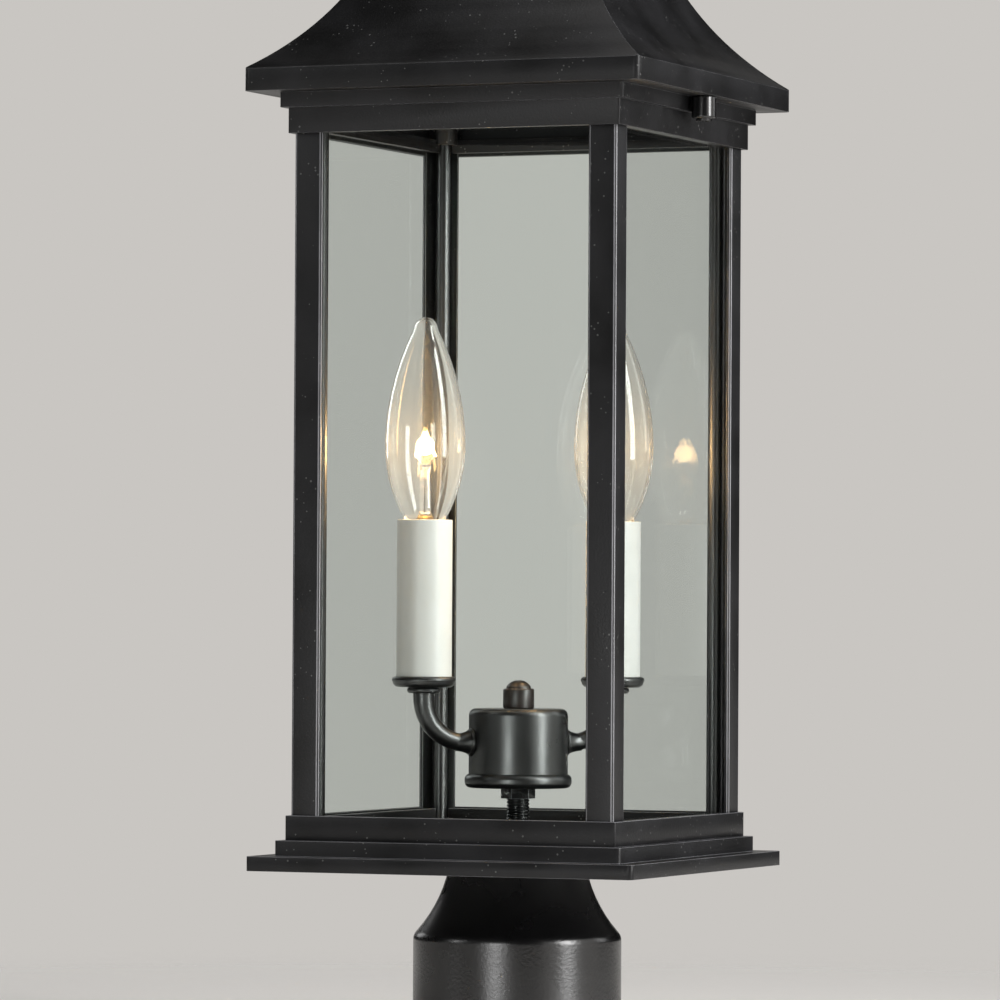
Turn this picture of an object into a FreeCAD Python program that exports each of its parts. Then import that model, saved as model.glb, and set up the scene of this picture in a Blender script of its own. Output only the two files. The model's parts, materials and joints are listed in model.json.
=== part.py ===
import FreeCAD, Part
import math
import os
import Sketcher
from FreeCAD import Placement, Rotation, Vector

# Post top lantern: a square cast lantern body on a 3 inch post fitter, with a
# two-light candle cluster inside four clear panes and a lift-off roof.
# Millimetres and degrees.  +Z is up; the origin is the centre of the fitter's
# bottom rim.  Azimuth of the front face is -Y.

SIZES = {
    # post fitter
    "fitter_bore_radius": 38.5,
    "fitter_radius": 43.75,
    "fitter_height": 77.0,
    "fitter_bore_depth": 44.0,
    "fitter_straight": 46.8,
    "fitter_shoulder": 3.9,
    "fitter_shoulder_radius": 42.2,
    "neck_radius": 29.0,
    "neck_curve": 58.0,
    "neck_wall": 3.8,
    "neck_web": 4.0,
    # the three screws that grip the post
    "set_screw_radius": 2.95,
    "set_screw_height": 15.0,
    "set_screw_tip_gap": 0.2,
    "set_screw_shank": 8.2,
    "set_screw_head_radius": 4.6,
    "set_screw_head": 3.2,
    "set_screw_slot": 1.2,
    # base pan: bottom plate with one step on it
    "plate_margin": 9.0,
    "plate_thickness": 6.1,
    "plate_corner": 2.2,
    "step_margin": 3.3,
    "step_thickness": 6.4,
    "step_corner": 1.6,
    "pan_wall": 5.0,
    "pan_recess": 3.5,
    "pan_boss_radius": 32.0,
    # base frame that holds posts and panes
    "base_frame_margin": 1.8,
    "base_frame_height": 10.3,
    "frame_corner": 1.0,
    "rebate_depth": 4.9,
    "lip_drop": 0.5,
    "lip_width": 3.2,
    "tube_boss_radius": 6.2,
    # corner posts, panes and the tie tubes behind them
    "post_half": 71.9,
    "post_leg": 12.4,
    "post_wall": 1.9,
    "post_bevel": 0.8,
    "window_height": 282.8,
    "pane_thickness": 3.0,
    "pane_gap": 0.1,
    "seat_gap": 0.1,
    "tube_radius": 3.1,
    "tube_wall": 0.8,
    "tube_gap": 0.3,
    "tie_rod_radius": 1.95,
    "tie_rod_fit": 0.2,
    "tie_head_radius": 3.6,
    "tie_head": 2.4,
    # top frame: two cornice steps under the roof's seat
    "cornice_margin": 2.2,
    "cornice_height": 10.6,
    "upper_step_margin": 2.6,
    "upper_step_height": 6.2,
    "top_rebate": 4.6,
    "top_web": 2.0,
    "top_lip_drop": 1.1,
    "top_lip_set_back": 0.9,
    "seat_thickness": 3.0,
    "seat_reach": 15.1,
    # roof
    "rim_wall": 2.9,
    "eave_corner": 3.0,
    "fascia_height": 9.2,
    "roof_height": 82.6,
    "roof_curve": 110.0,
    "roof_throat": 39.6,
    "roof_wall": 2.6,
    "rim_gap": 0.2,
    "rim_ledge": 4.7,
    "cap_overhang": 3.0,
    "cap_edge": 4.0,
    "cap_height": 26.0,
    "cap_curve": 40.0,
    "cap_tip": 7.0,
    "cap_wall": 2.8,
    "cap_lip": 4.0,
    "finial_stem_radius": 2.9,
    "finial_foot_radius": 7.0,
    "finial_waist_radius": 3.6,
    "finial_waist": 7.0,
    "finial_ball_radius": 8.2,
    "finial_tip": 2.6,
    # studs and thumb nuts under the eave
    "stud_radius": 2.0,
    "stud_edge": 2.9,
    "stud_drop": 8.0,
    "stud_grip": 6.0,
    "stud_fit": 0.06,
    "stud_hole_gap": 0.25,
    "thumb_nut_radius": 5.1,
    "thumb_nut_gap": 0.3,
    "thumb_nut_height": 8.5,
    "thumb_nut_bevel": 1.0,
    "thumb_nut_tip_radius": 3.6,
    "thumb_nut_tip": 1.8,
    "thumb_nut_slot": 1.3,
    # centre stem and hub of the candle cluster
    "nipple_radius": 4.85,
    "nipple_wall": 1.3,
    "nipple_drop": 10.5,
    "nipple_fit": 0.25,
    "hex_across_flats": 12.7,
    "hex_height": 4.5,
    "hub_clearance": 21.2,
    "hub_lid_radius": 22.5,
    "hub_lid_height": 5.9,
    "hub_lid_round": 2.4,
    "hub_radius": 20.85,
    "hub_height": 27.4,
    "hub_wall": 1.2,
    "hub_round": 3.0,
    "knob_radius": 6.55,
    "knob_height": 8.4,
    "knob_dome_radius": 5.15,
    "knob_dome": 3.6,
    "knob_slot": 2.4,
    "knob_cover": 1.4,
    # arms
    "cluster_yaw": 40.0,
    "candle_offset": 41.5,
    "arm_rise": 13.2,
    "arm_bend": 18.0,
    "arm_lift": 2.55,
    "arm_root_radius": 3.3,
    "arm_top_radius": 4.5,
    "arm_root_depth": 3.2,
    "arm_fit": 0.15,
    "arm_flare_radius": 5.6,
    "arm_flare": 7.0,
    # candles
    "collar_radius": 7.05,
    "collar_height": 2.55,
    "cup_radius": 13.15,
    "cup_height": 4.5,
    "cup_floor": 2.0,
    "cup_rim": 0.9,
    "sleeve_radius": 11.6,
    "sleeve_wall": 1.0,
    "sleeve_height": 65.5,
    "socket_gap": 0.4,
    "socket_height": 22.5,
    "socket_drop": 1.5,
    "socket_mouth": 8.6,
    "socket_mouth_depth": 2.8,
    "socket_fit": 0.06,
    "socket_stem_radius": 3.2,
    "socket_stem_wall": 1.0,
    "stem_fit": 0.05,
    # bulbs
    "bulb_base_radius": 5.9,
    "bulb_base_height": 13.0,
    "bulb_contact_radius": 2.4,
    "bulb_contact": 3.0,
    "bulb_neck_drop": 4.0,
    "bulb_neck_radius": 6.4,
    "bulb_mouth_radius": 8.5,
    "bulb_belly_radius": 16.8,
    "bulb_belly_height": 31.0,
    "bulb_belly_curve": 62.0,
    "bulb_shoulder_curve": 108.0,
    "bulb_tip_radius": 5.1,
    "bulb_height": 84.9,
    "bulb_wall": 0.9,
    "bulb_mount_radius": 5.2,
    "bulb_mount_neck": 2.2,
    "bulb_mount_height": 28.0,
    "filament_radius": 0.35,
    "filament_foot": 1.0,
    "filament_lead": 1.2,
    "filament_shoulder": 4.0,
    "filament_span": 9.8,
    "filament_drop": 7.6,
}

doc = FreeCAD.newDocument("PostTopLantern")


class Size:
    """A number together with the sheet formula that it comes from."""

    def __init__(self, value, text):
        self.value = float(value)
        self.text = text

    def __add__(self, other):
        other = as_size(other)
        return Size(self.value + other.value, f"({self.text} + {other.text})")

    def __sub__(self, other):
        other = as_size(other)
        return Size(self.value - other.value, f"({self.text} - {other.text})")

    def __mul__(self, other):
        other = as_size(other)
        return Size(self.value * other.value, f"({self.text} * {other.text})")

    def __truediv__(self, other):
        other = as_size(other)
        return Size(self.value / other.value, f"({self.text} / {other.text})")

    def __neg__(self):
        return Size(-self.value, f"(-1 * {self.text})")

    __radd__ = __add__
    __rmul__ = __mul__


def as_size(number):
    return number if isinstance(number, Size) else Size(number, f"({number})")


def root(size):
    return Size(math.sqrt(size.value), f"sqrt({size.text})")


def lesser(one, other):
    return Size(min(one.value, other.value), f"min({one.text}; {other.text})")


def cosine(angle):
    return Size(math.cos(math.radians(angle.value)), f"cos({angle.text} * 1deg)")


def sine(angle):
    return Size(math.sin(math.radians(angle.value)), f"sin({angle.text} * 1deg)")


class SizeSheet:
    """The sheet of driving sizes; each alias is read as an attribute."""

    def __init__(self, numbers):
        sheet = doc.addObject("Spreadsheet::Sheet", "Sizes")
        for row, (alias, number) in enumerate(numbers.items(), start=1):
            sheet.set(f"A{row}", alias)
            sheet.set(f"B{row}", str(number))
            sheet.setAlias(f"B{row}", alias)
            setattr(self, alias, Size(number, f"Sizes.{alias}"))


s = SizeSheet(SIZES)
doc.recompute()

# Levels, from the fitter's rim up
Z_PAN = s.fitter_height
Z_STEP = Z_PAN + s.plate_thickness
Z_BASE_FRAME = Z_STEP + s.step_thickness
Z_SILL = Z_BASE_FRAME + s.base_frame_height
Z_HEAD = Z_SILL + s.window_height
Z_EAVE = Z_HEAD + s.cornice_height + s.upper_step_height
Z_CAP = Z_EAVE + s.roof_height
REBATE_FLOOR = Z_SILL - s.rebate_depth
REBATE_ROOF = Z_HEAD + s.top_rebate

Z_HUB_NUT = Z_BASE_FRAME + s.hub_clearance - s.hex_height
Z_HUB_LID = Z_BASE_FRAME + s.hub_clearance
Z_HUB = Z_HUB_LID + s.hub_lid_height
Z_KNOB = Z_HUB + s.hub_height
Z_ARM = Z_HUB + s.arm_rise
Z_COLLAR = Z_ARM + s.arm_bend + s.arm_lift
Z_CUP = Z_COLLAR + s.collar_height
Z_SLEEVE = Z_CUP + s.cup_height
Z_SLEEVE_TOP = Z_SLEEVE + s.sleeve_height
Z_SOCKET = Z_SLEEVE_TOP - s.socket_drop - s.socket_height

# Plan positions shared by posts, panes, tubes and both frames
PANE_OUTER = s.post_half - s.post_wall - s.pane_gap
PANE_INNER = PANE_OUTER - s.pane_thickness
TUBE_PLACE = PANE_INNER - s.tube_gap - s.tube_radius
REBATE_OUTER = PANE_OUTER + s.seat_gap * 2
REBATE_INNER = PANE_INNER - s.seat_gap * 2
POCKET_OUTER = s.post_half + s.seat_gap
POCKET_INNER = lesser(TUBE_PLACE - s.tube_radius - s.tube_gap,
                      s.post_half - s.post_leg - s.seat_gap)

# Half widths, each step out from the one that it stands on
BASE_FRAME_HALF = s.post_half + s.base_frame_margin
STEP_HALF = BASE_FRAME_HALF + s.step_margin
PLATE_HALF = STEP_HALF + s.plate_margin
CORNICE_HALF = s.post_half + s.cornice_margin
UPPER_STEP_HALF = CORNICE_HALF + s.upper_step_margin
STUD_PLACE = UPPER_STEP_HALF + s.thumb_nut_gap + s.thumb_nut_radius
STUD_HOLE = s.stud_radius + s.stud_hole_gap
SEAT_HALF = STUD_PLACE + s.stud_edge
SEAT_OPENING = REBATE_OUTER - s.seat_reach
RIM_INNER = SEAT_HALF + s.rim_gap
EAVE_HALF = RIM_INNER + s.rim_wall


def bind(thing, name, size):
    thing.setExpression(name, as_size(size).text)


def new_body(label, level=0, turn=0.0, east=0, north=0):
    """A body at a height, turned about the lantern's axis."""
    body = doc.addObject("PartDesign::Body", label)
    body.Label = label
    body.Placement = Placement(Vector(), Rotation(Vector(0, 0, 1), turn))
    for name, size in (("x", east), ("y", north), ("z", level)):
        bind(body, f"Placement.Base.{name}", size)
    return body


def new_sketch(body, role, level=0):
    """A sketch on one of the body's own origin planes, moved along its normal."""
    plane = next(p for p in body.Origin.OriginFeatures if p.Role == role)
    sketch = body.newObject("Sketcher::SketchObject", f"{body.Label}_outline")
    sketch.AttachmentSupport = [(plane, "")]
    sketch.MapMode = "FlatFace"
    bind(sketch, "AttachmentOffset.Base.z", level)
    return sketch


def pin_point(sketch, geometry, point, x, y):
    """Hold one point of the sketch at (x, y)."""
    for kind, size, axis in (("DistanceX", as_size(x), -2), ("DistanceY", as_size(y), -1)):
        if size.value == 0:
            sketch.addConstraint(Sketcher.Constraint("PointOnObject", geometry, point, axis))
            continue
        index = sketch.addConstraint(
            Sketcher.Constraint(kind, -1, 1, geometry, point, size.value))
        sketch.setExpression(f"Constraints[{index}]", size.text)


def hold_radius(sketch, geometry, radius):
    index = sketch.addConstraint(Sketcher.Constraint("Radius", geometry, radius.value))
    sketch.setExpression(f"Constraints[{index}]", radius.text)


def arc_between(start, end, radius, side):
    """The short arc from start to end with its centre on the given side."""
    chord = end - start
    height = math.sqrt(radius ** 2 - (chord.Length / 2) ** 2)
    normal = Vector(-chord.y, chord.x, 0).normalize() * (1 if side == "left" else -1)
    centre = (start + end) * 0.5 + normal * height
    first, last = (start, end) if side == "left" else (end, start)
    angles = [math.atan2(p.y - centre.y, p.x - centre.x) for p in (first, last)]
    if angles[1] < angles[0]:
        angles[1] += 2 * math.pi
    return Part.ArcOfCircle(Part.Circle(centre, Vector(0, 0, 1), radius), *angles)


def draw(sketch, corners, closed=True):
    """Lines and arcs through corners (x, y) or (x, y, radius, side of the centre)."""
    count = len(corners)
    points = [Vector(as_size(c[0]).value, as_size(c[1]).value, 0) for c in corners]
    ends = []
    for i in range(count if closed else count - 1):
        start, end = points[i], points[(i + 1) % count]
        if len(corners[i]) == 2:
            line = sketch.addGeometry(Part.LineSegment(start, end))
            ends.append((line, 1, 2))
            continue
        radius, side = corners[i][2:]
        radius = as_size(radius)
        arc = sketch.addGeometry(arc_between(start, end, radius.value, side))
        ends.append((arc, 1, 2) if side == "left" else (arc, 2, 1))
        hold_radius(sketch, arc, radius)
    for i, (geometry, first, last) in enumerate(ends):
        pin_point(sketch, geometry, first, corners[i][0], corners[i][1])
        if closed or i + 1 < len(ends):
            following = ends[(i + 1) % len(ends)]
            sketch.addConstraint(
                Sketcher.Constraint("Coincident", geometry, last, following[0], following[1]))
        else:
            pin_point(sketch, geometry, last, corners[i + 1][0], corners[i + 1][1])
    return sketch


def draw_square(sketch, half):
    return draw(sketch, [(-half, -half), (half, -half), (half, half), (-half, half)])


def draw_rounded_square(sketch, half, radius):
    flat = half - radius
    return draw(sketch, [
        (flat, -half, radius, "left"), (half, -flat), (half, flat, radius, "left"), (flat, half),
        (-flat, half, radius, "left"), (-half, flat), (-half, -flat, radius, "left"), (-flat, -half),
    ])


def draw_circle(sketch, radius, x=0, y=0):
    radius = as_size(radius)
    centre = Vector(as_size(x).value, as_size(y).value, 0)
    circle = sketch.addGeometry(Part.Circle(centre, Vector(0, 0, 1), radius.value))
    pin_point(sketch, circle, 3, x, y)
    hold_radius(sketch, circle, radius)
    return sketch


def draw_at_corners(sketch, place, shape):
    """Call shape(sketch, x, y) at the four corners of a square."""
    for x in (-place, place):
        for y in (-place, place):
            shape(sketch, x, y)
    return sketch


def extrude(sketch, length, kind="Pad", reverse=False):
    """A Pad adds along the sketch's normal; a Pocket cuts against it."""
    doc.recompute()
    body = sketch.getParentGeoFeatureGroup()
    before = body.Shape.Volume if not body.Shape.isNull() else 0.0
    feature = body.newObject(f"PartDesign::{kind}", f"{body.Label}_{kind.lower()}")
    feature.Profile = sketch
    feature.Reversed = reverse
    bind(feature, "Length", length)
    sketch.Visibility = False
    doc.recompute()
    changed = body.Shape.Volume - before
    if (changed > 0) != (kind == "Pad"):
        raise RuntimeError(f"{feature.Label} changed the volume by {changed:.3f}")
    return feature


def turn_outline(body, corners):
    """A solid of revolution about the body's own vertical axis."""
    sketch = draw(new_sketch(body, "XZ_Plane"), corners)
    doc.recompute()
    feature = body.newObject("PartDesign::Revolution", f"{body.Label}_turned")
    feature.Profile = sketch
    feature.ReferenceAxis = (sketch, ["V_Axis"])
    feature.Angle = 360.0
    sketch.Visibility = False
    doc.recompute()
    return body


def sweep_round_square(body, path_half, corners):
    """A moulding section swept round a square with mitred corners."""
    path = new_sketch(body, "XY_Plane")
    draw(path, [(path_half, 0), (path_half, path_half), (-path_half, path_half),
                (-path_half, -path_half), (path_half, -path_half)])
    section = draw(new_sketch(body, "XZ_Plane"), corners)
    doc.recompute()
    feature = body.newObject("PartDesign::AdditivePipe", f"{body.Label}_moulding")
    feature.Profile = section
    feature.Spine = (path, [f"Edge{i + 1}" for i in range(5)])
    feature.Transition = "Right corner"
    for sketch in (path, section):
        sketch.Visibility = False
    doc.recompute()
    return body


def upright_edges(shape, half):
    """Names of the vertical edges that stand at the corners of a square."""
    names = []
    for number, edge in enumerate(shape.Edges, start=1):
        ends = [v.Point for v in edge.Vertexes]
        if len(ends) != 2 or (ends[0] - ends[1]).cross(Vector(0, 0, 1)).Length > 1e-6:
            continue
        if all(abs(abs(c) - half.value) < 1e-6 for c in (ends[0].x, ends[0].y)):
            names.append(f"Edge{number}")
    return names


def round_corners(body, half, radius):
    """Round the four outer upright edges at a half width."""
    doc.recompute()
    base = body.Tip
    feature = body.newObject("PartDesign::Fillet", f"{body.Label}_corners")
    feature.Base = (base, upright_edges(base.Shape, as_size(half)))
    bind(feature, "Radius", radius)
    doc.recompute()


def repeat_round(body, feature, count):
    """Copy a feature round the body's vertical axis."""
    axis = next(a for a in body.Origin.OriginFeatures if a.Role == "Z_Axis")
    pattern = body.newObject("PartDesign::PolarPattern", f"{body.Label}_pattern")
    pattern.Originals = [feature]
    pattern.Axis = (axis, [""])
    pattern.Angle = 360.0
    pattern.Occurrences = count
    body.Tip = pattern
    doc.recompute()


def post_fitter():
    """Cup that slips over the post, drawn up to a neck under the base pan."""
    body = new_body("post_fitter")
    rim_bevel = 0.8
    crown = s.fitter_straight + s.fitter_shoulder
    turn_outline(body, [
        (s.fitter_bore_radius, 0),
        (s.fitter_radius - rim_bevel, 0),
        (s.fitter_radius, rim_bevel),
        (s.fitter_radius, s.fitter_straight, s.fitter_shoulder + 1.6, "left"),
        (s.fitter_shoulder_radius, crown, s.neck_curve, "right"),
        (s.neck_radius, s.fitter_height),
        (s.nipple_radius + s.nipple_fit, s.fitter_height),
        (s.nipple_radius + s.nipple_fit, s.fitter_height - s.neck_web),
        (s.neck_radius - s.neck_wall, s.fitter_height - s.neck_web),
        (s.fitter_bore_radius - s.neck_wall, s.fitter_bore_depth),
        (s.fitter_bore_radius, s.fitter_bore_depth),
    ])
    hole = new_sketch(body, "YZ_Plane")
    draw_circle(hole, s.set_screw_radius + s.stud_fit, 0, s.set_screw_height)
    cut = extrude(hole, s.fitter_radius + 1, "Pocket", reverse=True)
    repeat_round(body, cut, 3)


def set_screw(number, turn):
    """Slotted screw whose axis points outwards, its tip just clear of the bore."""
    body = new_body(f"set_screw_{number}", s.set_screw_height)
    body.Placement = Placement(
        body.Placement.Base,
        Rotation(Vector(0, 0, 1), turn) * Rotation(Vector(0, 1, 0), 90))
    tip = s.fitter_bore_radius + s.set_screw_tip_gap
    head = tip + s.set_screw_shank
    top = head + s.set_screw_head
    turn_outline(body, [
        (0, tip),
        (s.set_screw_radius - 0.6, tip),
        (s.set_screw_radius, tip + 0.6),
        (s.set_screw_radius, head),
        (s.set_screw_head_radius, head),
        (s.set_screw_head_radius, top - 0.8),
        (s.set_screw_head_radius - 0.8, top),
        (0, top),
    ])
    cut_slot(body, top, s.set_screw_slot, s.set_screw_head_radius, s.set_screw_head / 2)


def cut_slot(body, top, width, reach, depth):
    """Screwdriver slot across the end of a turned piece."""
    slot = new_sketch(body, "XY_Plane", top)
    half = width / 2
    draw(slot, [(-reach, -half), (reach, -half), (reach, half), (-reach, half)])
    extrude(slot, depth, "Pocket")


def base_pan():
    """Bottom plate and first step in one casting, recessed underneath."""
    body = new_body("base_pan", Z_PAN)
    plate = draw_rounded_square(new_sketch(body, "XY_Plane"), PLATE_HALF, s.plate_corner)
    extrude(plate, s.plate_thickness)
    step = new_sketch(body, "XY_Plane", s.plate_thickness)
    extrude(draw_rounded_square(step, STEP_HALF, s.step_corner), s.step_thickness)
    recess = draw_square(new_sketch(body, "XY_Plane"), PLATE_HALF - s.pan_wall)
    draw_circle(recess, s.pan_boss_radius)
    extrude(recess, s.pan_recess, "Pocket", reverse=True)
    holes = draw_circle(new_sketch(body, "XY_Plane"), s.nipple_radius + s.nipple_fit)
    draw_at_corners(holes, TUBE_PLACE, rod_hole)
    extrude(holes, s.plate_thickness + s.step_thickness, "Pocket", reverse=True)


def rod_hole(sketch, x, y):
    draw_circle(sketch, s.tie_rod_radius + s.tie_rod_fit, x, y)


def corner_pocket(sketch, x, y):
    """Square that clears one corner post, the pane ends and the tie tube."""
    middle = (POCKET_OUTER + POCKET_INNER) / 2
    half = (POCKET_OUTER - POCKET_INNER) / 2
    across = middle if x.value > 0 else -middle
    along = middle if y.value > 0 else -middle
    draw(sketch, [(across - half, along - half), (across + half, along - half),
                  (across + half, along + half), (across - half, along + half)])


def base_frame():
    """Rebated ring that takes the feet of posts, panes and tie tubes."""
    body = new_body("base_frame", Z_BASE_FRAME)
    floor = s.base_frame_height - s.rebate_depth
    lip_top = s.base_frame_height - s.lip_drop
    sweep_round_square(body, REBATE_INNER, [
        (BASE_FRAME_HALF, 0),
        (BASE_FRAME_HALF, s.base_frame_height),
        (REBATE_OUTER, s.base_frame_height),
        (REBATE_OUTER, floor),
        (REBATE_INNER, floor),
        (REBATE_INNER, lip_top),
        (REBATE_INNER - s.lip_width, lip_top),
        (REBATE_INNER - s.lip_width, 0),
    ])
    round_corners(body, BASE_FRAME_HALF, s.frame_corner)
    bosses = new_sketch(body, "XY_Plane")
    draw_at_corners(bosses, TUBE_PLACE,
                    lambda sk, x, y: draw_circle(sk, s.tube_boss_radius, x, y))
    extrude(bosses, floor)
    pockets = draw_at_corners(new_sketch(body, "XY_Plane", s.base_frame_height),
                              TUBE_PLACE, corner_pocket)
    extrude(pockets, s.rebate_depth, "Pocket")
    holes = draw_at_corners(new_sketch(body, "XY_Plane"), TUBE_PLACE, rod_hole)
    extrude(holes, floor, "Pocket", reverse=True)


def corner_post(label, turn):
    """Angle section with bevelled edges, drawn at the front right corner."""
    body = new_body(label, REBATE_FLOOR, turn)
    outer = s.post_half
    inner = s.post_half - s.post_wall
    toe = s.post_half - s.post_leg
    bevel = s.post_bevel
    section = draw(new_sketch(body, "XY_Plane"), [
        (toe + bevel, -outer),
        (outer - bevel, -outer),
        (outer, -outer + bevel),
        (outer, -toe - bevel),
        (outer - bevel, -toe),
        (inner, -toe),
        (inner, -inner),
        (toe, -inner),
        (toe, -outer + bevel),
    ])
    extrude(section, REBATE_ROOF - REBATE_FLOOR)


def glass_pane(label, turn):
    """Clear pane; each laps the end of the next one behind a post."""
    body = new_body(label, REBATE_FLOOR, turn)
    butt = -PANE_INNER + s.tube_gap
    section = draw(new_sketch(body, "XY_Plane", s.seat_gap), [
        (butt, -PANE_OUTER),
        (PANE_OUTER, -PANE_OUTER),
        (PANE_OUTER, -PANE_INNER),
        (butt, -PANE_INNER),
    ])
    extrude(section, REBATE_ROOF - REBATE_FLOOR - s.seat_gap * 2)


def tie_tube(label, turn):
    """Spacer tube in the corner, clamped between the two frames."""
    body = new_body(label, REBATE_FLOOR, turn)
    section = draw_circle(new_sketch(body, "XY_Plane"), s.tube_radius, TUBE_PLACE, -TUBE_PLACE)
    draw_circle(section, s.tube_radius - s.tube_wall, TUBE_PLACE, -TUBE_PLACE)
    extrude(section, REBATE_ROOF - REBATE_FLOOR)


def tie_rod(label, east, north):
    """Long screw from the pan's underside up into the top frame's boss."""
    body = new_body(label, Z_PAN + s.pan_recess, east=east, north=north)
    length = Z_EAVE - Z_PAN - s.pan_recess - 1
    turn_outline(body, [
        (0, -s.tie_head),
        (s.tie_head_radius - 0.7, -s.tie_head),
        (s.tie_head_radius, -s.tie_head + 0.7),
        (s.tie_head_radius, 0),
        (s.tie_rod_radius, 0),
        (s.tie_rod_radius, length),
        (0, length),
    ])


def top_frame():
    """Two cornice steps, the pane channel and the flat seat under the roof."""
    body = new_body("top_frame", Z_HEAD)
    step = s.cornice_height
    seat = step + s.upper_step_height
    web_top = s.top_rebate + s.top_web
    lip_inner = REBATE_INNER - s.lip_width
    sweep_round_square(body, REBATE_INNER, [
        (CORNICE_HALF, 0),
        (CORNICE_HALF, step),
        (UPPER_STEP_HALF, step),
        (UPPER_STEP_HALF, seat),
        (SEAT_HALF, seat),
        (SEAT_HALF, seat + s.seat_thickness),
        (SEAT_OPENING, seat + s.seat_thickness),
        (SEAT_OPENING, seat),
        (REBATE_OUTER, seat),
        (REBATE_OUTER, web_top),
        (lip_inner + s.top_lip_set_back, web_top),
        (lip_inner + s.top_lip_set_back, s.top_rebate),
        (lip_inner, s.top_rebate),
        (lip_inner, s.top_lip_drop),
        (REBATE_INNER, s.top_lip_drop),
        (REBATE_INNER, s.top_rebate),
        (REBATE_OUTER, s.top_rebate),
        (REBATE_OUTER, 0),
    ])
    round_corners(body, CORNICE_HALF, s.frame_corner)
    round_corners(body, UPPER_STEP_HALF, s.frame_corner)
    bosses = new_sketch(body, "XY_Plane", s.top_rebate)
    draw_at_corners(bosses, TUBE_PLACE,
                    lambda sk, x, y: draw_circle(sk, s.tube_boss_radius, x, y))
    extrude(bosses, seat - s.top_rebate)
    pockets = draw_at_corners(new_sketch(body, "XY_Plane"), TUBE_PLACE, corner_pocket)
    extrude(pockets, s.top_rebate, "Pocket", reverse=True)
    tapped = draw_at_corners(
        new_sketch(body, "XY_Plane"), TUBE_PLACE,
        lambda sk, x, y: draw_circle(sk, s.tie_rod_radius + s.stem_fit, x, y))
    extrude(tapped, seat, "Pocket", reverse=True)
    holes = new_sketch(body, "XY_Plane", seat)
    for x in (-STUD_PLACE, STUD_PLACE):
        draw_circle(holes, STUD_HOLE, x, 0)
    extrude(holes, s.seat_thickness, "Pocket", reverse=True)


# The roof's faces curve on an arc whose centre stands outside the eave
CURVE_X = s.roof_throat + s.roof_curve
CURVE_Z = s.fascia_height + root(
    s.roof_curve * s.roof_curve - (CURVE_X - EAVE_HALF) * (CURVE_X - EAVE_HALF))


def curve_half(height, radius):
    """Half width of the roof's arc at a height above the eave."""
    rise = CURVE_Z - height
    return CURVE_X - root(radius * radius - rise * rise)


def curve_height(half, radius):
    """Height above the eave of the roof's arc at a half width."""
    run = CURVE_X - half
    return CURVE_Z - root(radius * radius - run * run)


ROOF_TOP = curve_half(s.roof_height, s.roof_curve)
ROOF_TOP_INNER = curve_half(s.roof_height, s.roof_curve + s.roof_wall)


def roof_shell():
    """Bell-curved square roof: fascia, a ledge on the seat and four curved slopes."""
    body = new_body("roof_shell", Z_EAVE)
    ledge = RIM_INNER - s.rim_ledge
    inner = s.roof_curve + s.roof_wall
    sweep_round_square(body, ledge, [
        (RIM_INNER, 0),
        (EAVE_HALF, 0),
        (EAVE_HALF, s.fascia_height, s.roof_curve, "right"),
        (ROOF_TOP, s.roof_height),
        (ROOF_TOP_INNER, s.roof_height, inner, "left"),
        (ledge, curve_height(ledge, inner)),
        (ledge, s.seat_thickness),
        (RIM_INNER, s.seat_thickness),
    ])
    round_corners(body, EAVE_HALF, s.eave_corner)
    holes = new_sketch(body, "XY_Plane", s.seat_thickness)
    for x in (-STUD_PLACE, STUD_PLACE):
        draw_circle(holes, s.stud_radius + s.stem_fit, x, 0)
    extrude(holes, s.stud_grip, "Pocket", reverse=True)


def roof_cap():
    """Square cap with its own small curved spire, located in the roof's throat."""
    body = new_body("roof_cap", Z_CAP)
    brim = ROOF_TOP + s.cap_overhang
    lip_outer = ROOF_TOP_INNER - s.rim_gap
    lip_inner = lip_outer - s.cap_wall
    hole = s.finial_stem_radius + s.rim_gap
    top = s.cap_edge + s.cap_height
    sweep_round_square(body, lip_inner, [
        (brim, 0),
        (brim, s.cap_edge),
        (ROOF_TOP, s.cap_edge, s.cap_curve, "right"),
        (s.cap_tip, top),
        (hole, top),
        (hole, top - s.cap_height / 2),
        (lip_inner, s.cap_edge / 10),
        (lip_inner, -s.cap_lip),
        (lip_outer, -s.cap_lip),
        (lip_outer, 0),
    ])


def finial():
    """Turned ball finial whose stem passes down through the cap."""
    level = Z_CAP + s.cap_edge + s.cap_height
    body = new_body("finial", level)
    ball_centre = s.finial_waist + root(
        s.finial_ball_radius * s.finial_ball_radius
        - s.finial_waist_radius * s.finial_waist_radius)
    crown = ball_centre + root(
        s.finial_ball_radius * s.finial_ball_radius - s.finial_tip * s.finial_tip)
    turn_outline(body, [
        (0, -s.cap_height / 2 - 3),
        (s.finial_stem_radius, -s.cap_height / 2 - 3),
        (s.finial_stem_radius, 0),
        (s.finial_foot_radius, 0),
        (s.finial_foot_radius, 1.6),
        (s.finial_waist_radius, 4.2),
        (s.finial_waist_radius, s.finial_waist, s.finial_ball_radius, "left"),
        (s.finial_ball_radius, ball_centre, s.finial_ball_radius, "left"),
        (s.finial_tip, crown),
        (s.finial_tip, crown + 1, s.finial_tip, "left"),
        (0, crown + 1 + s.finial_tip),
    ])


def roof_stud(label, side):
    """Stud screwed up into the roof's rim, hanging through the seat."""
    body = new_body(label, Z_EAVE, east=STUD_PLACE * side)
    top = s.seat_thickness + s.stud_grip
    turn_outline(body, [
        (0, -s.stud_drop),
        (s.stud_radius - 0.5, -s.stud_drop),
        (s.stud_radius, -s.stud_drop + 0.5),
        (s.stud_radius, top),
        (0, top),
    ])


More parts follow.
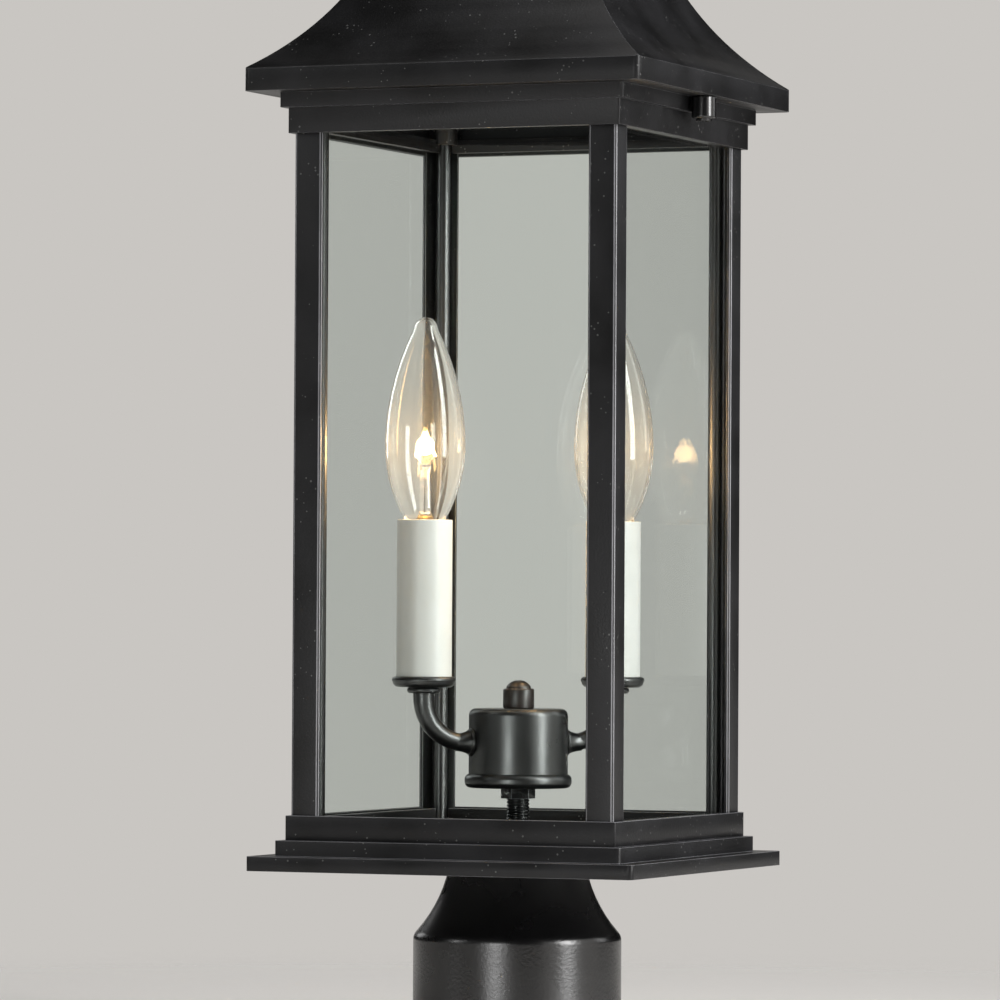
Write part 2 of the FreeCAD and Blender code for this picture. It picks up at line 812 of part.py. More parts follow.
def thumb_nut(label, side):
    """Smooth round nut with a slotted tip, finger-tight under the seat."""
    body = new_body(label, Z_EAVE, east=STUD_PLACE * side)
    bore = s.stud_radius + s.stud_fit
    shoulder = -s.thumb_nut_height
    tip = shoulder - s.thumb_nut_tip
    bevel = s.thumb_nut_bevel
    turn_outline(body, [
        (bore, 0),
        (s.thumb_nut_radius - 0.4, 0),
        (s.thumb_nut_radius, -as_size(0.4)),
        (s.thumb_nut_radius, shoulder + bevel),
        (s.thumb_nut_radius - bevel, shoulder),
        (s.thumb_nut_tip_radius, shoulder),
        (s.thumb_nut_tip_radius, tip + 0.4),
        (s.thumb_nut_tip_radius - 0.4, tip),
        (0, tip),
        (0, -s.stud_drop - 0.3),
        (bore, -s.stud_drop - 0.3),
    ])
    slot = new_sketch(body, "XY_Plane", tip)
    half = s.thumb_nut_slot / 2
    reach = s.thumb_nut_radius
    draw(slot, [(-reach, -half), (reach, -half), (reach, half), (-reach, half)])
    extrude(slot, s.thumb_nut_tip * 0.8, "Pocket", reverse=True)


def centre_nipple():
    """Hollow threaded stem that carries the cluster and clamps the fitter."""
    bottom = Z_PAN - s.nipple_drop
    body = new_body("centre_nipple", bottom)
    section = draw_circle(new_sketch(body, "XY_Plane"), s.nipple_radius)
    draw_circle(section, s.nipple_radius - s.nipple_wall)
    extrude(section, Z_KNOB + s.knob_height - s.knob_cover - bottom)


def hex_nut(label, level):
    """Brass hexagon nut on the centre nipple, bevelled top and bottom."""
    body = new_body(label, level)
    corner = s.hex_across_flats / 2 / cosine(as_size(30))
    half_flat = s.hex_across_flats / 2
    outline = draw(new_sketch(body, "XY_Plane"), [
        (half_flat, -corner / 2), (half_flat, corner / 2), (0, corner),
        (-half_flat, corner / 2), (-half_flat, -corner / 2), (0, -corner),
    ])
    draw_circle(outline, s.nipple_radius + s.stem_fit)
    extrude(outline, s.hex_height)


def hub_lid():
    """Round-edged lid that closes the hub from below."""
    body = new_body("hub_lid", Z_HUB_LID)
    hole = s.nipple_radius + s.stem_fit
    edge = s.hub_lid_round
    turn_outline(body, [
        (hole, 0),
        (s.hub_lid_radius - edge, 0, edge, "left"),
        (s.hub_lid_radius, edge),
        (s.hub_lid_radius, s.hub_lid_height - edge, edge, "left"),
        (s.hub_lid_radius - edge, s.hub_lid_height),
        (hole, s.hub_lid_height),
    ])


def hub_can():
    """Thin spun can open at the bottom, with a hole each side for the arms."""
    body = new_body("hub_can", Z_HUB)
    turn_about_cluster(body, 0)
    hole = s.nipple_radius + s.stem_fit
    wall = s.hub_wall
    curve = s.hub_round
    turn_outline(body, [
        (s.hub_radius - wall, 0),
        (s.hub_radius, 0),
        (s.hub_radius, s.hub_height - curve, curve, "left"),
        (s.hub_radius - curve, s.hub_height),
        (hole, s.hub_height),
        (hole, s.hub_height - wall),
        (s.hub_radius - curve, s.hub_height - wall, curve - wall, "right"),
        (s.hub_radius - wall, s.hub_height - curve),
    ])
    side_hole = new_sketch(body, "YZ_Plane")
    draw_circle(side_hole, s.arm_root_radius + s.arm_fit, 0, s.arm_rise)
    cut = extrude(side_hole, s.hub_radius + 1, "Pocket", reverse=True)
    repeat_round(body, cut, 2)


def turn_about_cluster(body, extra):
    """Turn a body with the cluster, which points towards two opposite corners."""
    body.Placement = Placement(body.Placement.Base, Rotation(Vector(0, 0, 1), 1))
    bind(body, "Placement.Rotation.Angle", s.cluster_yaw + extra)


def hub_knob():
    """Round retaining knob with a slotted domed end."""
    body = new_body("hub_knob", Z_KNOB)
    bore = s.nipple_radius + s.stem_fit
    depth = s.knob_height - s.knob_cover + 0.2
    top = s.knob_height + s.knob_dome
    rise = s.knob_dome - 0.8
    dome = (s.knob_dome_radius * s.knob_dome_radius + rise * rise) / (rise * 2)
    turn_outline(body, [
        (bore, 0),
        (s.knob_radius - 0.5, 0),
        (s.knob_radius, 0.5),
        (s.knob_radius, s.knob_height - 0.5),
        (s.knob_radius - 0.5, s.knob_height),
        (s.knob_dome_radius, s.knob_height),
        (s.knob_dome_radius, s.knob_height + 0.8, dome, "left"),
        (0, top),
        (0, depth),
        (bore, depth),
    ])
    cut_slot(body, top, s.knob_slot, s.knob_radius, s.knob_dome / 2)


def arm(label, extra):
    """Cast arm that leaves the hub level, thickens and bends up to the candle."""
    body = new_body(label, Z_ARM)
    turn_about_cluster(body, extra)
    start = s.hub_radius - s.arm_root_depth
    bend_start = s.candle_offset - s.arm_bend
    top = s.arm_bend + s.arm_lift
    path = draw(new_sketch(body, "XZ_Plane"), [
        (start, 0),
        (bend_start, 0, s.arm_bend, "left"),
        (s.candle_offset, s.arm_bend),
        (s.candle_offset, top),
    ], closed=False)
    root_circle = draw_circle(new_sketch(body, "YZ_Plane", start), s.arm_root_radius)
    top_circle = draw_circle(new_sketch(body, "XY_Plane", top), s.arm_top_radius, s.candle_offset)
    doc.recompute()
    pipe = body.newObject("PartDesign::AdditivePipe", f"{label}_pipe")
    pipe.Profile = root_circle
    pipe.Spine = (path, ["Edge1", "Edge2", "Edge3"])
    pipe.Transformation = "Multisection"
    pipe.Sections = [(top_circle, [""])]
    doc.recompute()
    flare = body.newObject("PartDesign::AdditiveCone", f"{label}_flare")
    plane = next(p for p in body.Origin.OriginFeatures if p.Role == "YZ_Plane")
    flare.AttachmentSupport = [(plane, "")]
    flare.MapMode = "FlatFace"
    bind(flare, "AttachmentOffset.Base.z", s.hub_radius + 0.15)
    bind(flare, "Radius1", s.arm_flare_radius)
    bind(flare, "Radius2", s.arm_root_radius + 0.15)
    bind(flare, "Height", s.arm_flare)
    doc.recompute()


def at_candle(label, level, side):
    """A body on the axis of one candle."""
    east = s.candle_offset * cosine(s.cluster_yaw) * side
    north = s.candle_offset * sine(s.cluster_yaw) * side
    return new_body(label, level, east=east, north=north)


def candle_collar(label, side):
    body = at_candle(label, Z_COLLAR, side)
    hole = s.socket_stem_radius + s.stem_fit
    turn_outline(body, [
        (hole, 0),
        (s.collar_radius - 0.9, 0, 1.3, "left"),
        (s.collar_radius, s.collar_height / 2, 1.3, "left"),
        (s.collar_radius - 0.9, s.collar_height),
        (hole, s.collar_height),
    ])


def candle_cup(label, side):
    """Shallow drip cup with a beaded rim and a recess for the sleeve."""
    body = at_candle(label, Z_CUP, side)
    hole = s.socket_stem_radius + s.stem_fit
    rim = s.cup_radius - s.cup_rim
    turn_outline(body, [
        (hole, 0),
        (s.cup_radius - 3.2, 0, 3.4, "left"),
        (s.cup_radius, s.cup_height - 1.6),
        (s.cup_radius, s.cup_height - 0.4),
        (s.cup_radius - 0.4, s.cup_height),
        (rim, s.cup_height),
        (rim, s.cup_height - 0.8),
        (s.sleeve_radius - s.sleeve_wall - s.socket_gap, s.cup_height - 0.8),
        (s.sleeve_radius - s.sleeve_wall - s.socket_gap, s.cup_floor),
        (hole, s.cup_floor),
    ])


def candle_sleeve(label, side):
    """White candle tube that stands in the cup and hides the socket."""
    body = at_candle(label, Z_SLEEVE - 0.8, side)
    section = draw_circle(new_sketch(body, "XY_Plane"), s.sleeve_radius)
    draw_circle(section, s.sleeve_radius - s.sleeve_wall)
    extrude(section, s.sleeve_height + 0.8)


def socket_stem(label, side):
    """Threaded tube from the arm's end up to the lamp socket."""
    body = at_candle(label, Z_COLLAR, side)
    section = draw_circle(new_sketch(body, "XY_Plane"), s.socket_stem_radius)
    draw_circle(section, s.socket_stem_radius - s.socket_stem_wall)
    extrude(section, Z_SOCKET - Z_COLLAR)


def lamp_socket(label, side):
    """Candle base socket: flared mouth over a plain bore for the bulb's cap."""
    body = at_candle(label, Z_SOCKET, side)
    outer = s.sleeve_radius - s.sleeve_wall - s.socket_gap
    bore = s.bulb_base_radius + s.socket_fit
    top = s.socket_height
    mouth = top - s.socket_mouth_depth
    floor = top + s.socket_drop - s.bulb_neck_drop - s.bulb_base_height - s.bulb_contact - 0.3
    turn_outline(body, [
        (0, 0),
        (outer, 0),
        (outer, top),
        (s.socket_mouth, top),
        (s.socket_mouth, mouth),
        (bore, mouth),
        (bore, floor),
        (0, floor),
    ])


def bulb_glass(label, side):
    """Torpedo envelope with an even wall, open at the neck."""
    body = at_candle(label, Z_SLEEVE_TOP, side)
    wall = s.bulb_wall
    tip = s.bulb_tip_radius
    tip_level = s.bulb_height - tip
    turn_outline(body, [
        (s.bulb_neck_radius, -s.bulb_neck_drop),
        (s.bulb_mouth_radius, 0, s.bulb_belly_curve, "left"),
        (s.bulb_belly_radius, s.bulb_belly_height, s.bulb_shoulder_curve, "left"),
        (tip, tip_level, tip, "left"),
        (0, s.bulb_height),
        (0, s.bulb_height - wall, tip - wall, "right"),
        (tip - wall, tip_level, s.bulb_shoulder_curve - wall, "right"),
        (s.bulb_belly_radius - wall, s.bulb_belly_height, s.bulb_belly_curve - wall, "right"),
        (s.bulb_mouth_radius - wall, 0),
        (s.bulb_neck_radius - wall, -s.bulb_neck_drop),
    ])


def bulb_base(label, side):
    """Candelabra screw cap, its thread drawn plain, with a contact button."""
    body = at_candle(label, Z_SLEEVE_TOP, side)
    top = -s.bulb_neck_drop
    shell = top - s.bulb_base_height
    turn_outline(body, [
        (0, top),
        (s.bulb_base_radius, top),
        (s.bulb_base_radius, shell + 1.5),
        (s.bulb_base_radius - 1.5, shell),
        (s.bulb_contact_radius, shell - s.bulb_contact + 0.8),
        (s.bulb_contact_radius - 0.8, shell - s.bulb_contact),
        (0, shell - s.bulb_contact),
    ])


def bulb_mount(label, side):
    """Glass foot inside the envelope that holds the filament."""
    body = at_candle(label, Z_SLEEVE_TOP - s.bulb_neck_drop, side)
    neck = s.bulb_mount_neck
    turn_outline(body, [
        (0, 0),
        (s.bulb_mount_radius, 0),
        (s.bulb_mount_radius, 0.8),
        (neck, 8.0),
        (neck, s.bulb_mount_height - 2),
        (neck - 0.8, s.bulb_mount_height),
        (0, s.bulb_mount_height),
    ])


def bulb_filament(label, side):
    """Bent wire shaped like an inverted V, standing on the glass foot."""
    body = at_candle(label, Z_SLEEVE_TOP - s.bulb_neck_drop + s.bulb_mount_height, side)
    foot = s.filament_foot
    half = s.filament_span / 2
    lead = s.filament_lead
    shoulder = s.filament_shoulder
    wire = draw(new_sketch(body, "XZ_Plane"), [
        (-foot, 0),
        (-foot, lead),
        (-half, shoulder),
        (0, shoulder + s.filament_drop),
        (half, shoulder),
        (foot, lead),
        (foot, 0),
    ], closed=False)
    start = draw_circle(new_sketch(body, "XY_Plane"), s.filament_radius, -foot)
    doc.recompute()
    pipe = body.newObject("PartDesign::AdditivePipe", f"{label}_wire")
    pipe.Profile = start
    pipe.Spine = (wire, [f"Edge{i + 1}" for i in range(6)])
    pipe.Transition = "Right corner"
    doc.recompute()


def build():
    post_fitter()
    for number in range(3):
        set_screw(number + 1, number * 120.0)
    base_pan()
    base_frame()
    sides = ("front", "right", "back", "left")
    corners = ("front_right", "back_right", "back_left", "front_left")
    signs = ((1, -1), (1, 1), (-1, 1), (-1, -1))
    for index in range(4):
        turn = index * 90.0
        corner_post(f"corner_post_{corners[index]}", turn)
        glass_pane(f"glass_{sides[index]}", turn)
        tie_tube(f"tie_tube_{corners[index]}", turn)
        east, north = signs[index]
        tie_rod(f"tie_rod_{corners[index]}", TUBE_PLACE * east, TUBE_PLACE * north)
    top_frame()
    roof_shell()
    roof_cap()
    finial()
    centre_nipple()
    hex_nut("fitter_lock_nut", Z_PAN - s.neck_web - s.hex_height)
    hex_nut("pan_lock_nut", Z_BASE_FRAME)
    hex_nut("hub_nut", Z_HUB_NUT)
    hub_lid()
    hub_can()
    hub_knob()
    for name, side in (("left", -1), ("right", 1)):
        roof_stud(f"roof_stud_{name}", side)
        thumb_nut(f"thumb_nut_{name}", side)
        arm(f"arm_{name}", 0 if side > 0 else 180)
        candle_collar(f"candle_collar_{name}", side)
        candle_cup(f"candle_cup_{name}", side)
        candle_sleeve(f"candle_sleeve_{name}", side)
        socket_stem(f"socket_stem_{name}", side)
        lamp_socket(f"lamp_socket_{name}", side)
        bulb_glass(f"bulb_glass_{name}", side)
        bulb_base(f"bulb_base_{name}", side)
        bulb_mount(f"bulb_mount_{name}", side)
        bulb_filament(f"bulb_filament_{name}", side)


def check_and_write():
    """Stop on any failed feature, then write one file per sub-part."""
    doc.recompute()
    for thing in doc.Objects:
        if "Invalid" in thing.State or "Error" in thing.State:
            raise RuntimeError(f"{thing.Label} did not compute: {thing.State}")
    bodies = [thing for thing in doc.Objects if thing.TypeId == "PartDesign::Body"]
    for body in bodies:
        if body.Shape.isNull() or not body.Shape.isValid() or len(body.Shape.Solids) != 1:
            raise RuntimeError(f"{body.Label} has no single valid solid")
    os.makedirs("parts", exist_ok=True)
    for body in bodies:
        body.Shape.exportStep(f"parts/{body.Label}.step")
    print(len(bodies), "sub-parts written")


build()
check_and_write()
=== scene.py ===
"""The looks of a square post top lantern with a two-candle cluster: black powder coat,
clear panes, white candle tubes and two lit torpedo bulbs, on a pale studio floor."""
import json
import math

import bmesh
import bpy
from mathutils import Matrix, Vector

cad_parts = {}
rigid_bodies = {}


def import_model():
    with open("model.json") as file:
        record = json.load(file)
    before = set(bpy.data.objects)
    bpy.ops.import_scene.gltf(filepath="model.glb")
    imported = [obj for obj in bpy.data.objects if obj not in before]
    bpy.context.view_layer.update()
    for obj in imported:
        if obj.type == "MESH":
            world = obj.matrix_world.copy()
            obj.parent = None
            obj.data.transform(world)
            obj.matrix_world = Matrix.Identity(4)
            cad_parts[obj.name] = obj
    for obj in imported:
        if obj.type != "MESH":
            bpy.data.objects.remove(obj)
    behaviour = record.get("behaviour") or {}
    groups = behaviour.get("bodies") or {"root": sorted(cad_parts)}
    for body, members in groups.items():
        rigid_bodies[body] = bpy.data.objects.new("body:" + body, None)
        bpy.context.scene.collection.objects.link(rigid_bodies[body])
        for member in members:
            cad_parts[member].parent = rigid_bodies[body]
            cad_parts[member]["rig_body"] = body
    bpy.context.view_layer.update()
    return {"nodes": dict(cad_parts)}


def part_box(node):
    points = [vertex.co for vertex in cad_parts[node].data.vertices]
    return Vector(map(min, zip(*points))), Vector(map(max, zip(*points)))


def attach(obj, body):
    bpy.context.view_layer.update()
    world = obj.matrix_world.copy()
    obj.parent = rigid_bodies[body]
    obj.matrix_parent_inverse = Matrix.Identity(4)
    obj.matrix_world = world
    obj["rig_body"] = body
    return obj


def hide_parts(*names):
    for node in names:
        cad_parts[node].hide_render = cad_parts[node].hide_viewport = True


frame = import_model()

MM = 0.001
CORNERS = ("front_right", "back_right", "back_left", "front_left")
WINDOWS = ("front", "right", "back", "left")
SIDES = (("left", -1), ("right", 1))

# A bend sharper than this is an edge (degrees)
EDGE_ANGLE = 28.0

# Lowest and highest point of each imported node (mm)
LEVEL = {name: [corner.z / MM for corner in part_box(name)] for name in frame["nodes"]}

# The candle cluster: how far its line of candles turns from the lantern's left to right
# (degrees), a candle's axis from the middle, the arms' axis above the can's rim, and the
# middle of the filaments above the candle tubes (mm)
CLUSTER_YAW = 40.0
CANDLE_OFFSET = 41.5
ARM_RISE = 13.2
FILAMENT_RISE = 31.0
ARM_AXIS = LEVEL["hub_can"][0] + ARM_RISE
SLEEVE_TOP = LEVEL["candle_sleeve_left"][1]


# ---------------------------------------------------------------- materials

# A coat's tone drifts over this length (mm)
TONE_DRIFT = 30
# Dust: spacing of the specks and size of the dusty patches (mm), and the largest speck's
# radius as a share of the spacing. Real specks are about 0.2 mm across. They are drawn up
# to 0.8 mm, because finer ones wouldn't show at this picture's scale.
DUST_SPACING = 2.6
DUST_PATCH = 11
DUST_REACH = 0.16
DUST_COLOUR = "#8A8A88"
# Tool lines on bare metal are this much longer than they are wide
LINE_STRETCH = 30.0
LINE_DEPTH_MM = 0.02


def linear(code):
    """An sRGB hex colour as the linear colour that the shader takes."""
    channels = [int(code[i:i + 2], 16) / 255 for i in (1, 3, 5)]
    return [c / 12.92 if c <= 0.04045 else ((c + 0.055) / 1.055) ** 2.4
            for c in channels] + [1.0]


def add(material, kind, values=None, links=None, stops=None, **settings):
    """One shader node with its settings, socket values, incoming links and, for a
    colour ramp, its (position, colour) stops."""
    tree = material.node_tree
    node = tree.nodes.new("ShaderNode" + kind)
    for name, value in settings.items():
        setattr(node, name, value)
    for socket, value in (values or {}).items():
        node.inputs[socket].default_value = value
    for socket, source in (links or {}).items():
        tree.links.new(source, node.inputs[socket])
    for point, (position, colour) in zip(node.color_ramp.elements if stops else (), stops or ()):
        point.position = position
        point.color = linear(colour)
    return node


def begin(name):
    """An empty material, its surface socket and the piece's own coordinates in metres."""
    material = bpy.data.materials.new(name)
    material.use_nodes = True
    material.node_tree.nodes.clear()
    output = add(material, "OutputMaterial")
    place = add(material, "TexCoord")
    return material, output.inputs["Surface"], place.outputs["Object"]


def per_mm(size):
    """Noise scale that gives features of about this size in millimetres."""
    return 1.0 / (size * MM)


def coated_metal(name, dark, light, roughness, grain_mm, grain_height_mm, ior, dust=0.0):
    """Sprayed and baked coat on metal: a deep tone that drifts a little, an orange peel
    that breaks up the highlights and, where dust is above 0, pale specks that strong."""
    material, surface, place = begin(name)
    drift = add(material, "TexNoise", {"Scale": per_mm(TONE_DRIFT), "Detail": 4.0},
                {"Vector": place})
    tone = add(material, "ValToRGB", links={"Fac": drift.outputs["Fac"]},
               stops=[(0.35, dark), (0.65, light)]).outputs["Color"]
    sheen = add(material, "MapRange",
                {"From Min": 0.3, "From Max": 0.7,
                 "To Min": roughness - 0.05, "To Max": roughness + 0.06},
                {"Value": drift.outputs["Fac"]})
    if dust:
        cells = add(material, "TexVoronoi", {"Scale": per_mm(DUST_SPACING)}, {"Vector": place})
        chance = add(material, "TexNoise", {"Scale": per_mm(DUST_PATCH), "Detail": 1.0},
                     {"Vector": place})
        reach = add(material, "MapRange",
                    {"From Min": 0.44, "From Max": 0.62, "To Min": 0.0, "To Max": DUST_REACH},
                    {"Value": chance.outputs["Fac"]})
        inside = add(material, "Math", operation="LESS_THAN",
                     links={0: cells.outputs["Distance"], 1: reach.outputs["Result"]})
        amount = add(material, "Math", {1: dust}, {0: inside.outputs["Value"]},
                     operation="MULTIPLY")
        # Sockets 6 and 7 are the two colours of a Mix node, and output 2 is its colour
        speckled = add(material, "Mix", {7: linear(DUST_COLOUR)},
                       {"Factor": amount.outputs["Value"], 6: tone}, data_type="RGBA")
        tone = speckled.outputs[2]
    peel = add(material, "TexNoise", {"Scale": per_mm(grain_mm), "Detail": 2.0},
               {"Vector": place})
    bump = add(material, "Bump", {"Strength": 0.5, "Distance": grain_height_mm * MM},
               {"Height": peel.outputs["Fac"]})
    shader = add(material, "BsdfPrincipled", {"IOR": ior},
                 {"Base Color": tone, "Roughness": sheen.outputs["Result"],
                  "Normal": bump.outputs["Normal"]})
    material.node_tree.links.new(shader.outputs["BSDF"], surface)
    return material


def sheet_glass(name, tint, ior, wave_mm, wave_height_mm):
    """A flat pane, too thin to bend what is seen through it: clear face on and more of a
    mirror aslant, with the slight wave that float glass has."""
    material, surface, place = begin(name)
    wave = add(material, "TexNoise", {"Scale": per_mm(wave_mm), "Detail": 1.0},
               {"Vector": place})
    bump = add(material, "Bump", {"Strength": 0.2, "Distance": wave_height_mm * MM},
               {"Height": wave.outputs["Fac"]})
    slant = add(material, "LayerWeight", {"Blend": 0.5})
    steep = add(material, "Math", {1: 5.0}, {0: slant.outputs["Facing"]}, operation="POWER")
    face_on = ((ior - 1) / (ior + 1)) ** 2
    share = add(material, "MapRange", {"To Min": face_on, "To Max": 1.0},
                {"Value": steep.outputs["Value"]})
    mirror = add(material, "BsdfGlossy", {"Roughness": 0.0}, {"Normal": bump.outputs["Normal"]})
    clear = add(material, "BsdfTransparent", {"Color": linear(tint)})
    mix = add(material, "MixShader", links={0: share.outputs["Result"],
                                            1: clear.outputs["BSDF"], 2: mirror.outputs["BSDF"]})
    material.node_tree.links.new(mix.outputs["Shader"], surface)
    return material


def blown_wall(name, tint, ior, ripple_mm, ripple_height_mm, haze):
    """Thin blown glass with a faint ripple; lamp light passes it to what stands inside.
    Haze is the share of light that its skin scatters."""
    material, surface, place = begin(name)
    ripple = add(material, "TexNoise", {"Scale": per_mm(ripple_mm), "Detail": 1.0},
                 {"Vector": place})
    bump = add(material, "Bump", {"Strength": 0.3, "Distance": ripple_height_mm * MM},
               {"Height": ripple.outputs["Fac"]})
    shader = add(material, "BsdfPrincipled",
                 {"Base Color": linear(tint), "Roughness": 0.0, "IOR": ior,
                  "Transmission Weight": 1.0},
                 {"Normal": bump.outputs["Normal"]})
    scatter = add(material, "BsdfTranslucent", {"Color": linear("#FFFFFF")})
    hazed = add(material, "MixShader", {0: haze},
                {1: shader.outputs["BSDF"], 2: scatter.outputs["BSDF"]})
    through = add(material, "BsdfTransparent", {"Color": linear(tint)})
    path = add(material, "LightPath")
    mix = add(material, "MixShader",
              links={0: path.outputs["Is Shadow Ray"],
                     1: hazed.outputs["Shader"], 2: through.outputs["BSDF"]})
    material.node_tree.links.new(mix.outputs["Shader"], surface)
    return material


def moulded(name, tone, shade, roughness, grain_mm, grain_height_mm):
    """Moulded or extruded plastic: even colour with a slight cloud and a fine skin."""
    material, surface, place = begin(name)
    cloud = add(material, "TexNoise", {"Scale": per_mm(14), "Detail": 3.0}, {"Vector": place})
    colour = add(material, "ValToRGB", links={"Fac": cloud.outputs["Fac"]},
                 stops=[(0.3, shade), (0.7, tone)])
    skin = add(material, "TexNoise", {"Scale": per_mm(grain_mm), "Detail": 2.0},
               {"Vector": place})
    bump = add(material, "Bump", {"Strength": 0.4, "Distance": grain_height_mm * MM},
               {"Height": skin.outputs["Fac"]})
    shader = add(material, "BsdfPrincipled", {"Roughness": roughness, "IOR": 1.49},
                 {"Base Color": colour.outputs["Color"], "Normal": bump.outputs["Normal"]})
    material.node_tree.links.new(shader.outputs["BSDF"], surface)
    return material


def bare_metal(name, tone, shade, roughness, line_mm):
    """Plated or drawn metal with fine lines round it from the tool."""
    material, surface, place = begin(name)
    stretched = add(material, "Mapping", {"Scale": (1.0, 1.0, LINE_STRETCH)},
                    {"Vector": place})
    lines = add(material, "TexNoise", {"Scale": per_mm(line_mm * LINE_STRETCH), "Detail": 4.0},
                {"Vector": stretched.outputs["Vector"]})
    colour = add(material, "ValToRGB", links={"Fac": lines.outputs["Fac"]},
                 stops=[(0.3, shade), (0.7, tone)])
    rough = add(material, "MapRange",
                {"From Min": 0.3, "From Max": 0.7,
                 "To Min": roughness - 0.06, "To Max": roughness + 0.08},
                {"Value": lines.outputs["Fac"]})
    bump = add(material, "Bump", {"Strength": 0.4, "Distance": LINE_DEPTH_MM * MM},
               {"Height": lines.outputs["Fac"]})
    shader = add(material, "BsdfPrincipled", {"Metallic": 1.0},
                 {"Base Color": colour.outputs["Color"], "Roughness": rough.outputs["Result"],
                  "Normal": bump.outputs["Normal"]})
    material.node_tree.links.new(shader.outputs["BSDF"], surface)
    return material


def glowing_tungsten(name, warm, hot, strength):
    """Coiled tungsten at yellow-white heat, uneven along the coil."""
    material, surface, place = begin(name)
    coil = add(material, "TexNoise", {"Scale": per_mm(1.5), "Detail": 2.0}, {"Vector": place})
    heat = add(material, "ValToRGB", links={"Fac": coil.outputs["Fac"]},
               stops=[(0.25, warm), (0.7, hot)])
    shader = add(material, "BsdfPrincipled",
                 {"Base Color": linear("#6B6560"), "Roughness": 0.5,
                  "Emission Strength": strength},
                 {"Emission Color": heat.outputs["Color"]})
    material.node_tree.links.new(shader.outputs["BSDF"], surface)
    return material


# Powder coat, sprayed dry and baked: matt satin black with a fine tooth and clinging dust.
# The real tooth is about 0.02 mm deep. It is drawn deeper, so that it shows at this scale.
powder_coat = coated_metal("powder_coated_aluminium", "#0C0C0D", "#1A1A1C", roughness=0.42,
                           grain_mm=1.0, grain_height_mm=0.14, ior=1.42, dust=0.38)
# The same coat on the eased arrises, made paler and smoother: a painted highlight, so that each
# edge draws a bright line
painted_edge_highlight_coat = coated_metal("powder_coat_painted_edge_highlight", "#77777A", "#8E8E92", roughness=0.26,
                         grain_mm=1.5, grain_height_mm=0.004, ior=1.6)
# Wet-sprayed enamel on a casting: deep black and glossier, with a wider orange peel, which
# is also drawn deeper than the real 0.02 mm so that it shows
fitter_enamel = coated_metal("enamelled_casting", "#080809", "#0B0B0C", roughness=0.27,
                             grain_mm=1.4, grain_height_mm=0.12, ior=1.8)
# Enamel on spun and bent steel: smooth satin black with soft, long highlights
cluster_enamel = coated_metal("enamelled_steel", "#0A0A0B", "#0E0E0F", roughness=0.32,
                              grain_mm=3.5, grain_height_mm=0.008, ior=2.0)
# The same enamel on the knob, unevenly browned by years of lamp heat
knob_enamel = coated_metal("heat_browned_enamel", "#0E0B0A", "#2B1D16", roughness=0.36,
                           grain_mm=1.5, grain_height_mm=0.05, ior=1.8)
# Black oxide on turned steel: dark and shiny, so each facet flashes
black_oxide = coated_metal("black_oxide_steel", "#0A0A0B", "#121213", roughness=0.24,
                           grain_mm=2.5, grain_height_mm=0.01, ior=1.8)
# Float glass: flat and clear, barely green, with mirror reflections
float_glass = sheet_glass("float_glass", "#FDFFFE", ior=1.52, wave_mm=60, wave_height_mm=0.02)
# Blown bulb glass: clear and thin, with slight waves that bend its highlights
blown_glass = blown_wall("blown_bulb_glass", "#FEFDFB", ior=1.5, ripple_mm=14,
                         ripple_height_mm=0.02, haze=0.010)
# Extruded white candle tube: bright, even, with a soft plastic sheen
candle_tube = moulded("extruded_white_candle_tube", "#F2F1EE", "#EDECE8", roughness=0.38,
                      grain_mm=1.6, grain_height_mm=0.006)
# Moulded phenolic socket: dark brown with a dull moulded skin
phenolic = moulded("moulded_phenolic", "#26211D", "#1D1916", roughness=0.42,
                   grain_mm=1.2, grain_height_mm=0.02)
# Zinc plated steel: bright grey with lines left by turning
zinc_plate = bare_metal("zinc_plated_steel", "#B9BABB", "#A3A4A6", roughness=0.30, line_mm=0.25)
# Stamped brass bulb cap: warm and slightly dulled
bulb_cap_brass = bare_metal("stamped_brass", "#CDAE6B", "#B4965A", roughness=0.28, line_mm=0.25)
# Nickel lead wires: thin, grey and bright
nickel_wire = bare_metal("drawn_nickel", "#A9A49C", "#8F8A83", roughness=0.30, line_mm=0.2)
# Tungsten coil alight: the one bright, warm spot in each bulb
hot_filament = glowing_tungsten("glowing_tungsten", "#FFB859", "#FFE6B4", strength=160.0)


# ---------------------------------------------------------------- making pieces

def put_in_scene(name, data):
    """An object for a mesh, curve, lamp or camera, in the scene."""
    thing = bpy.data.objects.new(name, data)
    bpy.context.scene.collection.objects.link(thing)
    return thing


def finish_mesh(name, bm, material, body, stands_for=(), sharp=EDGE_ANGLE, easing=0.0,
                turn_out=True):
    """Make a bmesh a piece: merge, face outwards, shade, ease its edges (mm) under a pale
    coat that paints a highlight line along them, and let it ride on its body."""
    bmesh.ops.remove_doubles(bm, verts=bm.verts, dist=1e-6)
    if turn_out:
        bmesh.ops.recalc_face_normals(bm, faces=bm.faces)
    mesh = bpy.data.meshes.new(name)
    bm.to_mesh(mesh)
    bm.free()
    mesh.materials.append(material)
    mesh.shade_smooth()
    piece = put_in_scene(name, mesh)
    if easing:
        # The eased edges take a pale, smoother coat: a painted highlight line along each arris
        mesh.materials.append(painted_edge_highlight_coat)
        bevel = piece.modifiers.new("eased_edges", "BEVEL")
        bevel.width = easing * MM
        bevel.segments = 2
        bevel.limit_method = "ANGLE"
        bevel.angle_limit = math.radians(EDGE_ANGLE)
        bevel.harden_normals = True
        bevel.material = 1
    else:
        mesh.set_sharp_from_angle(angle=math.radians(sharp))
    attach(piece, body)
    if stands_for:
        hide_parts(*stands_for)
    return piece


